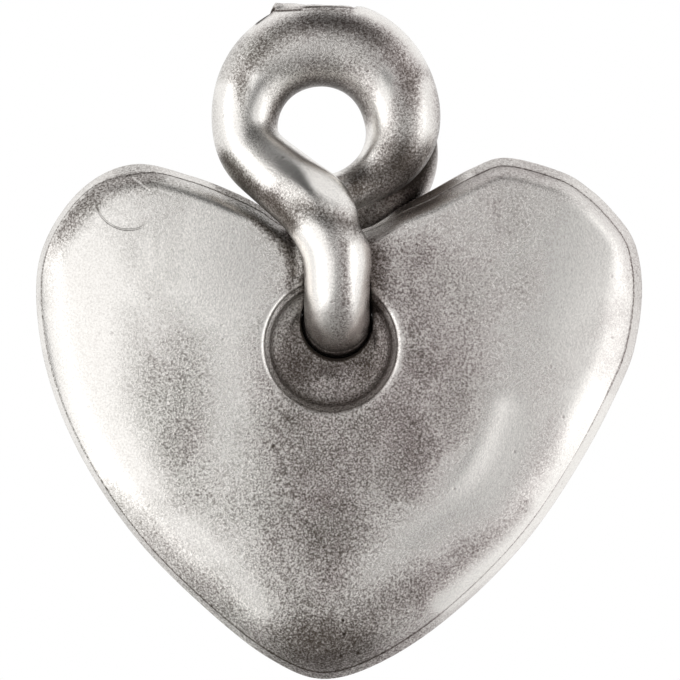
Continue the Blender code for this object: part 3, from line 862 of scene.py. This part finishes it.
# Strokes of painted highlight and shade: the light along the ridge and the shade beside it, the bright lower
# rims, the bright edge right of the notch.
STROKES = (
    (((10.2, -15.8), (9.1, -18.8), (6.9, -21.0), (4.3, -22.9), (2.5, -24.3)), 1.2, 0.26),
    (((11.2, -20.8), (9.8, -22.2), (7.8, -23.7), (6.0, -25.2)), 0.8, -0.22),
    (((15.2, -15.0), (13.6, -18.6), (11.3, -21.9), (8.2, -24.8), (6.6, -26.0)), 0.7, 0.4),
    (((-11.4, -17.2), (-8.9, -20.3), (-6.6, -22.4), (-4.4, -24.6), (-3.3, -26.0)), 0.9, 0.22),
    (((-11.6, -19.9), (-9.0, -22.6), (-6.6, -25.0), (-4.2, -27.2)), 0.6, -0.1),
    (((2.3, -5.5), (4.4, -4.35), (6.4, -3.2), (8.2, -2.45)), 0.2, 0.5),
)


def strokes_of(x, z, table):
    """What every row of a table of strokes adds at each point."""
    return [high * stroke(x, z, knots, width) for knots, width, high in table]


rubbed_and_painted_light = 0.5 + sum(high * oval(x, z, at, size, turn) for at, size, high, turn in OVALS)
rubbed_and_painted_light = np.where(y < 1.0, rubbed_and_painted_light + sum(strokes_of(x, z, STROKES)), 0.55)
# The dish's lip is rubbed and carries a painted highlight, brightest on its sides and weaker below.
lip_width = 0.1 + 0.15 * smooth_step(x, dish_x, dish_x + 2.5)
around = 0.5 + 0.5 * smooth_step(np.abs(x - dish_x), 1.0, 3.0)
around *= 1 - 0.6 * smooth_step(dish_z - z, 1.0, 3.0)
rubbed_and_painted_light += 0.4 * around * bell(from_dish, 3.74, lip_width) * (y < -1.5)


def keep_mark(piece, title, value):
    """Stores one number per point on a finished mesh."""
    layer = piece.data.attributes.new(title, "FLOAT", "POINT")
    layer.data.foreach_set("value", value.astype(np.float32).ravel())


heart = grid_piece("heart", skin, close_v=True)
keep_mark(heart, "patina_and_shade", patina_and_shade)
keep_mark(heart, "rubbed_and_painted_light", np.clip(rubbed_and_painted_light, 0, 1))

# %% [markdown]
# ## Marks of the bail
# The bail keeps dark patina where its two strands meet and on the right leg behind the crossing, and it
# is darker low down towards the hole and where it passes through and behind the heart. Painted shade
# darkens the upper inside of the eye and a band over its top. Narrow strokes paint highlights along the
# bar, where it is also rubbed bright, and others paint shade: the dark lines beside the highlights, in the
# pinch below the bend and under the burr. In a row of the dark strokes the last number says how much
# darker the line is.

# %% Strokes of painted highlight and shade on the bail
# Painted highlights, where the silver is also rubbed bright: the legs of the eye, the crossing, the drop and
# its foot, the eye's top rim.
PAINTED_HIGHLIGHTS = (
    (((-5.2, 2.2), (-4.9, 0.0), (-4.1, -1.6), (-3.0, -2.9)), 0.5, 0.5),
    (((-3.6, 2.8), (-3.4, 0.9)), 0.42, 0.5),
    (((3.6, 2.8), (3.3, 1.0), (2.6, -1.2)), 0.5, 0.5),
    (((5.8, 2.4), (5.9, -0.2)), 0.5, 0.5),
    (((-2.3, -1.0), (-0.6, -2.2), (0.9, -3.3)), 0.9, 0.45),
    (((-0.5, -5.8), (-0.1, -7.7), (0.0, -9.4)), 0.75, 0.5),
    (((0.0, -9.4), (0.1, -11.2)), 0.6, 0.3),
    (((2.0, -6.6), (2.1, -10.2), (1.9, -11.4)), 0.4, 0.5),
    (((-3.9, 5.6), (-2.0, 6.6), (0.5, 6.9), (3.6, 6.0), (5.9, 3.8)), 0.4, 0.32),
)
# Painted shade beside the highlights and in the pinch, and thin painted shadows under the burr on the eye's
# top.
PAINTED_SHADE_STROKES = (
    (((-4.2, 2.6), (-4.2, 0.8), (-3.5, -0.6), (-2.3, -1.6)), 0.35, 0.12),
    (((-5.2, -1.6), (-3.6, -3.2), (-2.6, -4.0), (-1.6, -5.2)), 0.5, 0.65),
    (((-1.2, -4.2), (0.3, -4.7), (2.0, -5.3)), 0.5, 0.35),
    (((1.3, -6.2), (1.4, -9.4)), 0.28, 0.3),
    (((-3.5, 6.0), (-2.6, 6.55)), 0.12, 0.6),
    (((-2.5, 6.6), (-0.9, 6.72), (1.7, 6.6)), 0.12, 0.45),
)
print("strokes on the bail:", len(PAINTED_HIGHLIGHTS), "bright and", len(PAINTED_SHADE_STROKES), "dark")

# %% [markdown]
# ## Both marks on the bail's meshes
# The bail's pieces are meshes already, with the two end points that close them, so their points are read
# back from the mesh. Of the patina and the painted shade at a place, the darkest counts, and of the
# painted highlights the brightest. The strokes of painted shade are added on top.


# %% Bail marks
def points_of(piece):
    """All points of a mesh as one array."""
    flat = np.empty(3 * len(piece.data.vertices))
    piece.data.vertices.foreach_get("co", flat)
    return flat.reshape(-1, 3)


for piece, other in ((bail_front, back_path), (bail_back, front_path)):
    points = points_of(piece)
    x, y, z = in_mm(points)
    apart = gap_to_bar(points, bar_line(other, 150))
    hollow = np.exp(-np.maximum(apart, 0) / 0.5) * (apart < 2) * (z > -5.5)
    low = (0.15 * smooth_step(-z, 8.8, 10.2) + 0.15 * smooth_step(-z, 11.0, 12.4)) * (y < 0.5)
    low += 0.6 * smooth_step(y, 0.2, 1.2) * (1 - smooth_step(y, 2.6, 3.9)) * smooth_step(-z, 3, 6)
    leg = 0.5 * oval(x, z, (2.4, -3.0), (1.2, 1.0)) + 0.5 * oval(x, z, (1.7, -3.3), (0.5, 0.8))
    leg = 0.68 * oval(x, z, (4.4, -1.9), (1.3, 1.6)) + leg * smooth_step(y, -2.7, -2.3)
    # Painted shade on the upper inside of the eye and on the inner side of its top.
    from_eye = np.hypot(x, z)
    shade_round_eye = bell(from_eye, 2.6, 0.35) * smooth_step(z, -1.0, 1.5)
    shade_round_eye += 0.35 * bell(from_eye, 3.6, 0.7) * smooth_step(z, 2.6, 3.4)
    patina_and_shade = np.maximum.reduce((hollow, low, leg, 0.65 * shade_round_eye))
    patina_and_shade += sum(strokes_of(x, z, PAINTED_SHADE_STROKES)) * (y < 0)
    # Painted highlights along the bar, partly rubbed silver.
    rubbed_and_painted_light = 0.42 + np.maximum.reduce(strokes_of(x, z, PAINTED_HIGHLIGHTS)) * (y < 1.5)
    # A band of painted shade over the top of the eye, taken off the rubbed mark.
    rubbed_and_painted_light -= 0.4 * bell(np.hypot(x - 0.3, z - 0.99), 4.9, 0.7) * smooth_step(z, 0.5, 3.0)
    keep_mark(piece, "patina_and_shade", np.clip(patina_and_shade, 0, 0.95))
    keep_mark(piece, "rubbed_and_painted_light", rubbed_and_painted_light)
    print(piece.name, "mean of recess and rubbed:", patina_and_shade.mean().round(2), rubbed_and_painted_light.mean().round(2))

# %% [markdown]
# ## Which piece moves with what
# The two bail surfaces stand for the bail's solid, and the heart's skin for the heart's.

# %% Bodies
for piece in (bail_front, bail_back):
    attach(piece, "bail")
    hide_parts("bail")
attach(heart, "heart")
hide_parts("heart_body")

# %% [markdown]
# ## Node helpers
# A material is a small network of nodes. A few helpers keep the cells short: they add a node and fill
# its inputs by name, make a step of arithmetic, or make a group, which is a network with named sockets
# of its own that several materials can use.


# %% Node helpers
def plug(tree, socket, value):
    """Links another socket to this one, or sets it to a plain value."""
    if isinstance(value, bpy.types.NodeSocket):
        tree.links.new(value, socket)
    else:
        socket.default_value = value


def add(tree, kind, inputs=(), **settings):
    """A new node. settings are its options, and inputs its socket values or the sockets to link from."""
    made = tree.nodes.new("ShaderNode" + kind)
    for title, value in settings.items():
        setattr(made, title, value)
    for title, value in dict(inputs).items():
        plug(tree, made.inputs[title], value)
    return made


def new_group(name, takes, gives):
    """A shader group. takes holds its inputs and their start values, None for a vector, and gives lists
    its outputs, which are plain numbers but for Color."""
    tree = bpy.data.node_groups.new(name, "ShaderNodeTree")
    for title, value in takes.items():
        kind = "NodeSocketVector" if value is None else "NodeSocketFloat"
        socket = tree.interface.new_socket(title, in_out="INPUT", socket_type=kind)
        if value is not None:
            socket.default_value = value
    for title in gives:
        kind = "NodeSocketColor" if title == "Color" else "NodeSocketFloat"
        tree.interface.new_socket(title, in_out="OUTPUT", socket_type=kind)
    return tree, tree.nodes.new("NodeGroupInput").outputs, tree.nodes.new("NodeGroupOutput").inputs


def remap(tree, value, low, high, to_low=0.0, to_high=1.0):
    """The value moved from one range to another along a smooth step."""
    ends = {"From Min": low, "From Max": high, "To Min": to_low, "To Max": to_high}
    return add(tree, "MapRange", {"Value": value, **ends}, interpolation_type="SMOOTHSTEP").outputs["Result"]


def maths(tree, kind, a, b=0.0, clamp=False):
    """One sum, product or other step of arithmetic."""
    return add(tree, "Math", {0: a, 1: b}, operation=kind, use_clamp=clamp).outputs[0]


def blend_colour(tree, share, a, b):
    """Colour a, moved towards colour b by a share. The node's colour sockets are its 7th and 8th."""
    return add(tree, "Mix", {0: share, 6: a, 7: b}, data_type="RGBA", clamp_factor=True).outputs[2]


def noise(tree, place, scale, detail, roughness, distortion):
    """Layered noise between 0 and 1, with its middle near 0.5."""
    inputs = {"Vector": place, "Scale": scale, "Detail": detail}
    inputs.update({"Roughness": roughness, "Distortion": distortion})
    return add(tree, "TexNoise", inputs).outputs["Fac"]


print("node helpers: plug, add, new_group, remap, maths, blend_colour and noise")

# %% [markdown]
# ## Cast grain
# Sand and plaster moulds leave a fine grain, and the black stays in its pits after the rubbing. Fine
# noise gives the grain, and cells with a random number each give the rare deeper pits. Both sizes are
# numbers per metre, because the model is in metres.

# %% Group: cast grain
tree, given, result = new_group(
    "cast grain",
    {"Vector": None, "Grain per metre": 8800.0, "Pits per metre": 1500.0},
    ("Speckle", "Pits", "Height"),
)
fine = noise(tree, given["Vector"], given["Grain per metre"], 4.0, 0.75, 0.4)
cells = add(tree, "TexVoronoi", {"Vector": given["Vector"], "Scale": given["Pits per metre"]})
chance = add(tree, "SeparateColor", {"Color": cells.outputs["Color"]})
some = remap(tree, chance.outputs["Red"], 0.8, 0.9)
dip = remap(tree, cells.outputs["Distance"], 0.04, 0.2, 1.0, 0.0)
pits = maths(tree, "MULTIPLY", some, dip)
plug(tree, result["Speckle"], remap(tree, fine, 0.3, 0.7))
plug(tree, result["Pits"], pits)
plug(tree, result["Height"], maths(tree, "SUBTRACT", fine, maths(tree, "MULTIPLY", pits, 0.7)))
print("cast grain:", len(tree.nodes), "nodes")

# %% [markdown]
# ## Patches
# The black skin is never even. It comes off in cloudy patches a few millimetres wide, and in some places
# it has a faint mauve or greenish cast.

# %% Group: patches
tree, given, result = new_group("patches", {"Vector": None, "Patches per metre": 260.0}, ("Cloud", "Cast"))
broad = noise(tree, given["Vector"], given["Patches per metre"], 4.0, 0.55, 0.6)
shift = add(tree, "Mapping", {"Vector": given["Vector"], "Location": (0.3, 0.1, 0.7)})
tone = noise(tree, shift.outputs[0], given["Patches per metre"], 2.0, 0.5, 0.0)
plug(tree, result["Cloud"], remap(tree, broad, 0.35, 0.65))
plug(tree, result["Cast"], remap(tree, tone, 0.35, 0.65))
print("patches:", len(tree.nodes), "nodes")

# %% [markdown]
# ## Scratches, small holes and thin painted shadows
# A few marks are too fine for the mesh. Seen from the front, each is a piece of a circle: a scratch, or a
# thin line of painted shadow, is part of a ring, and a blowhole, where gas was caught in the mould, is a
# ring of radius zero. Each mark ends at a distance from its own middle, and it fades behind a depth, so
# that it doesn't show on the back too.

# %% Group: fine mark
tree, given, result = new_group(
    "fine mark",
    {
        "Vector": None, "Centre": None, "Radius": 0.0, "Width": 0.0001,
        "Middle": None, "Reach": 0.001, "Depth": 0.0,
    },
    ("Mask",),
)


def flat_distance(tree, a, b):
    """How far a lies from b without their y."""
    apart = add(tree, "VectorMath", {0: a, 1: b}, operation="SUBTRACT").outputs[0]
    flat = add(tree, "VectorMath", {0: apart, 1: (1, 0, 1)}, operation="MULTIPLY").outputs[0]
    return add(tree, "VectorMath", {0: flat}, operation="LENGTH").outputs["Value"]


off = maths(tree, "SUBTRACT", flat_distance(tree, given["Vector"], given["Centre"]), given["Radius"])
line = maths(tree, "DIVIDE", maths(tree, "ABSOLUTE", off), given["Width"])
past = maths(tree, "DIVIDE", flat_distance(tree, given["Vector"], given["Middle"]), given["Reach"])
line = maths(tree, "MULTIPLY", remap(tree, line, 0.4, 1.0, 1.0, 0.0), remap(tree, past, 0.7, 1.0, 1.0, 0.0))
behind = maths(tree, "SUBTRACT", add(tree, "SeparateXYZ", {0: given["Vector"]}).outputs["Y"], given["Depth"])
mask = maths(tree, "MULTIPLY", line, remap(tree, behind, 0.0, 0.4 * MM, 1.0, 0.0))
plug(tree, result["Mask"], mask)
print("fine mark:", len(tree.nodes), "nodes")

# %% [markdown]
# ## Rubbed silver
# This group turns the marks into a colour and a roughness. Tarnish starts as a grey film that dims the
# silver. Where it is thick it is brown-black and dull, and past 1, deep in the hole, it is soot.

# %% Group: rubbed silver
SILVER = (0.91, 0.885, 0.85, 1)
GREENISH_FILM = (0.385, 0.37, 0.34, 1)
MAUVE_FILM = (0.42, 0.365, 0.355, 1)
BLACKENED = (0.078, 0.064, 0.054, 1)
tree, given, result = new_group(
    "rubbed silver", {"Tarnish": 0.3, "Cast": 0.5, "Dullest": 0.5}, ("Color", "Roughness")
)
film = maths(tree, "DIVIDE", given["Tarnish"], 0.7, clamp=True)
thick = remap(tree, given["Tarnish"], 0.35, 1.15)
dimmed = blend_colour(tree, film, SILVER, blend_colour(tree, given["Cast"], GREENISH_FILM, MAUVE_FILM))
plug(tree, result["Color"], blend_colour(tree, thick, dimmed, BLACKENED))
dull = add(tree, "MapRange", {"Value": given["Tarnish"], "To Min": 0.21, "To Max": given["Dullest"]})
soot = remap(tree, given["Tarnish"], 1.1, 1.5, 0.0, 0.5)
plug(tree, result["Roughness"], maths(tree, "ADD", dull.outputs["Result"], soot))
print("rubbed silver:", len(tree.nodes), "nodes")

# %% [markdown]
# ## The two finishes
# Bail and heart were cast, blackened and rubbed together, so they share the four groups. The bail stands
# out more and has been rubbed more. A little random height under everything makes highlights break up.
# The group can't know where the piece was rubbed and where light and shade are painted on it, so the material
# reads the two marks from the mesh.


# %% Materials
def antique_silver(name, rub, grain, calm, height, dullest, lean_to, marks):
    """One finish: tarnish = rub - the mark of rubbing and painted light + the mark of patina and painted
    shade + patches + grain, then the group that turns tarnish into silver. The grain is 1.1 times its
    strength on the left and calm times on the right, and it bites more where the tarnish is thick. height is
    how deep the grain is, dullest the roughness of full tarnish, and lean_to how far the tint drifts from
    greenish to mauve along x."""
    made = bpy.data.materials.new(name)
    made.use_nodes = True
    tree = made.node_tree
    shader = tree.nodes["Principled BSDF"]
    place = add(tree, "TexCoord").outputs["Object"]
    groups = bpy.data.node_groups
    speck = add(tree, "Group", node_tree=groups["cast grain"])
    cloud = add(tree, "Group", node_tree=groups["patches"])
    silver = add(tree, "Group", node_tree=groups["rubbed silver"])
    plug(tree, speck.inputs["Vector"], place)
    plug(tree, cloud.inputs["Vector"], place)
    patina_and_shade = add(tree, "Attribute", attribute_name="patina_and_shade").outputs["Fac"]
    rubbed_and_painted_light = add(tree, "Attribute", attribute_name="rubbed_and_painted_light").outputs["Fac"]
    dark = maths(tree, "ADD", maths(tree, "SUBTRACT", rub, rubbed_and_painted_light), patina_and_shade)
    dark = maths(tree, "ADD", dark, maths(tree, "MULTIPLY", cloud.outputs["Cloud"], 0.14))
    dark = maths(tree, "MAXIMUM", dark, 0.04)
    bite = remap(tree, dark, 0.0, 0.45, 0.35, 1.0)
    centred = maths(tree, "SUBTRACT", speck.outputs["Speckle"], 0.45)
    across = add(tree, "SeparateXYZ", {0: place}).outputs["X"]
    uneven = remap(tree, across, 1 * MM, 9 * MM, grain * 1.1, grain * calm)
    grains = maths(tree, "MULTIPLY", maths(tree, "MULTIPLY", centred, uneven), bite)
    dark = maths(tree, "ADD", dark, grains)
    dark = maths(tree, "ADD", dark, maths(tree, "MULTIPLY", speck.outputs["Pits"], 0.25))
    relief = maths(tree, "MULTIPLY", speck.outputs["Height"], bite)
    for centre, radius, width, middle, reach, depth, tint in marks:
        mark = add(tree, "Group", node_tree=groups["fine mark"])
        sizes = {"Radius": radius * MM, "Width": width * MM, "Reach": reach * MM, "Depth": depth * MM}
        sizes["Centre"] = (centre[0] * MM, 0, centre[1] * MM)
        sizes["Middle"] = (middle[0] * MM, 0, middle[1] * MM)
        for title, value in {"Vector": place, **sizes}.items():
            plug(tree, mark.inputs[title], value)
        mask = mark.outputs["Mask"]
        dark = maths(tree, "ADD", dark, maths(tree, "MULTIPLY", mask, tint))
        relief = maths(tree, "SUBTRACT", relief, mask)
    lean = remap(tree, across, -8 * MM, 8 * MM, 0.0, lean_to)
    cast = maths(tree, "ADD", maths(tree, "MULTIPLY", cloud.outputs["Cast"], 0.5), lean, clamp=True)
    bump = add(tree, "Bump", {"Height": relief, "Strength": 1.0, "Distance": height})
    for title, value in (("Tarnish", dark), ("Cast", cast), ("Dullest", dullest)):
        plug(tree, silver.inputs[title], value)
    plug(tree, shader.inputs["Metallic"], 1.0)
    plug(tree, shader.inputs["Base Color"], silver.outputs["Color"])
    plug(tree, shader.inputs["Roughness"], silver.outputs["Roughness"])
    plug(tree, shader.inputs["Normal"], bump.outputs["Normal"])
    print(name, "has", len(tree.nodes), "nodes")
    return made


# %% [markdown]
# ## Scratches, blowholes, painted shadow lines and the metal on each piece
# A row of scratches gives the middle and the radius of a circle, the line's half width, the middle and
# the reach of the part that shows, the depth where it ends, and how much darker it is. A row of
# BLOWHOLES gives only x, z, half width and how much darker it is.

# %% Metal on the pieces
# The bail's rows are thin lines of painted shadow under the burr and along the filed top of the eye, with the
# same columns as a row of scratches.
BAIL_SHADOW_LINES = (
    ((-15.79, 21.67), 20.0, 0.1, (-3.03, 6.27), 0.8, 0.6, 0.8),
    ((-1.85, 26.57), 20.0, 0.07, (-1.75, 6.57), 0.85, 0.6, 0.6),
    ((0.3, -13.0), 19.78, 0.07, (0.5, 6.78), 1.7, 0.6, 0.5),
)
HEART_SCRATCHES = (
    ((-10.5, -3.6), 1.86, 0.07, (-11.3, -5.2), 1.9, -1.2, 0.25),
    ((2.6, 12.7), 20.0, 0.08, (-9.9, -2.9), 0.75, -1.2, -0.3),
)
BLOWHOLES = (
    (1.24, -26.84, 0.12, 0.6), (1.29, -27.6, 0.11, 0.6), (1.13, -28.8, 0.13, 0.6), (2.06, -28.66, 0.12, 0.6),
    (-2.56, -17.3, 0.14, 0.45),
)
holes = tuple(((x, z), 0, size, (x, z), 1, -1.2, tint) for x, z, size, tint in BLOWHOLES)
bail_silver = antique_silver("bail silver", 0.67, 0.62, 1.0, 0.025 * MM, 0.36, 0.5, BAIL_SHADOW_LINES)
heart_silver = antique_silver("heart silver", 0.8, 0.74, 0.78, 0.04 * MM, 0.46, 0.7, HEART_SCRATCHES + holes)
for piece, metal in ((bail_front, bail_silver), (bail_back, bail_silver), (heart, heart_silver)):
    piece.data.materials.append(metal)

# %% [markdown]
# ## Floor and light
# A pale floor lies below the pendant and glows a little towards the camera, so that it melts into the
# white behind. Two large soft boxes stand left and right of the camera. The sides of every round form
# get a broad highlight from them, and its middle stays darker.

# %% Floor and soft boxes
FLOOR_Z = -0.3
FLOOR_RADIUS = 0.25
PENDANT_MIDDLE = -12 * MM
turn = np.linspace(0, 2 * math.pi, 96, endpoint=False)
disc = np.column_stack((FLOOR_RADIUS * np.cos(turn), FLOOR_RADIUS * np.sin(turn), np.full(96, FLOOR_Z)))
floor_mesh = bpy.data.meshes.new("floor")
floor_mesh.from_pydata(disc.tolist(), [], [list(range(96))])
floor = bpy.data.objects.new("floor", floor_mesh)
bpy.context.scene.collection.objects.link(floor)
paper = bpy.data.materials.new("pale paper")
paper.use_nodes = True
tree = paper.node_tree
glow = maths(tree, "MULTIPLY", add(tree, "LightPath").outputs["Is Camera Ray"], 0.5)
paper_look = (
    ("Base Color", (0.8, 0.8, 0.79, 1)), ("Roughness", 0.9), ("Emission Color", (1, 1, 1, 1)),
    ("Emission Strength", glow),
)
for title, value in paper_look:
    plug(tree, tree.nodes["Principled BSDF"].inputs[title], value)
floor_mesh.materials.append(paper)


def soft_box(name, azimuth, height, away, size, glow):
    """A rectangular lamp that faces the pendant, azimuth degrees to the right of the camera, at a height
    from the pendant's middle. Its power is glow pi area: glow is how bright it looks in a mirror."""
    lamp = bpy.data.lights.new(name, "AREA")
    lamp.shape = "RECTANGLE"
    lamp.size, lamp.size_y = size
    lamp.energy = glow * math.pi * size[0] * size[1]
    stand = bpy.data.objects.new(name, lamp)
    bpy.context.scene.collection.objects.link(stand)
    a = math.radians(azimuth)
    stand.location = (away * math.sin(a), -away * math.cos(a), PENDANT_MIDDLE + height)
    stand.rotation_euler = (math.radians(90), 0, a)
    stand.visible_camera = False
    print(name, "power", round(lamp.energy, 2), "W")


soft_box("left box", -41, -0.03, 0.6, (0.84, 1.15), 0.85)
soft_box("right box", 46, -0.03, 0.6, (0.6, 1.1), 0.62)

# %% [markdown]
# ## The world around the pendant
# Silver shows mostly what it mirrors, so the world has three faces. The camera sees plain white behind
# the pendant. Rough light comes from an even, dim grey. A mirror ray sees a room: white behind the
# pendant, and grey on the camera's side, darker towards the ceiling and the floor. The dark side of that
# room is what gives the front its deep tones.

# %% World
world = bpy.data.worlds.new("studio")
bpy.context.scene.world = world
world.use_nodes = True
tree = world.node_tree
tree.nodes.clear()
path = add(tree, "LightPath").outputs
way = add(tree, "SeparateXYZ", {0: add(tree, "TexCoord").outputs["Generated"]}).outputs
steep = maths(tree, "ABSOLUTE", way["Z"])
front = remap(tree, steep, 0.1, 0.6, 0.27, 0.12)
sideways = maths(tree, "MULTIPLY", maths(tree, "ABSOLUTE", way["X"]), 0.6)
lower = maths(tree, "MULTIPLY", way["Z"], -0.3)
around = maths(tree, "ADD", way["Y"], maths(tree, "ADD", sideways, lower))
behind = remap(tree, around, -0.35, 0.1)
room = maths(tree, "ADD", maths(tree, "MULTIPLY", front, maths(tree, "SUBTRACT", 1.0, behind)), behind)
glows = [add(tree, "Background", {"Color": (1, 1, 1, 1), "Strength": glow}) for glow in (0.3, room, 1.0)]
dim, mirrored, plain = (made.outputs[0] for made in glows)
seen = maths(tree, "MAXIMUM", path["Is Glossy Ray"], path["Is Transmission Ray"])
lit = add(tree, "MixShader", {0: seen, 1: dim, 2: mirrored}).outputs[0]
last = add(tree, "MixShader", {0: path["Is Camera Ray"], 1: lit, 2: plain}).outputs[0]
add(tree, "OutputWorld", {"Surface": last})
print("world:", len(tree.nodes), "nodes")

# %% [markdown]
# ## Camera
# A long lens, 45 centimetres away, looks straight at the pendant's front. The picture is 37.4 mm wide at
# the pendant, which is 0.055 mm for each of its 680 pixels.

# %% Camera
AWAY = 0.45
PICTURE_WIDTH = 37.4 * MM
PICTURE_MIDDLE = (1.07 * MM, -11.5 * MM)
lens = bpy.data.cameras.new("camera")
lens.sensor_width = 36
lens.lens = 36 * AWAY / PICTURE_WIDTH
lens.clip_start = 0.01
camera = bpy.data.objects.new("camera", lens)
bpy.context.scene.collection.objects.link(camera)
bpy.context.scene.camera = camera
camera.location = (PICTURE_MIDDLE[0], -AWAY, PICTURE_MIDDLE[1])
camera.rotation_euler = (math.radians(90), 0, 0)
bpy.context.scene.view_settings.view_transform = "Standard"
print("lens", round(lens.lens), "mm")

# %% [markdown]
# ## The last cell
# It imports json once more, and does nothing else.

# %% Last cell
import json
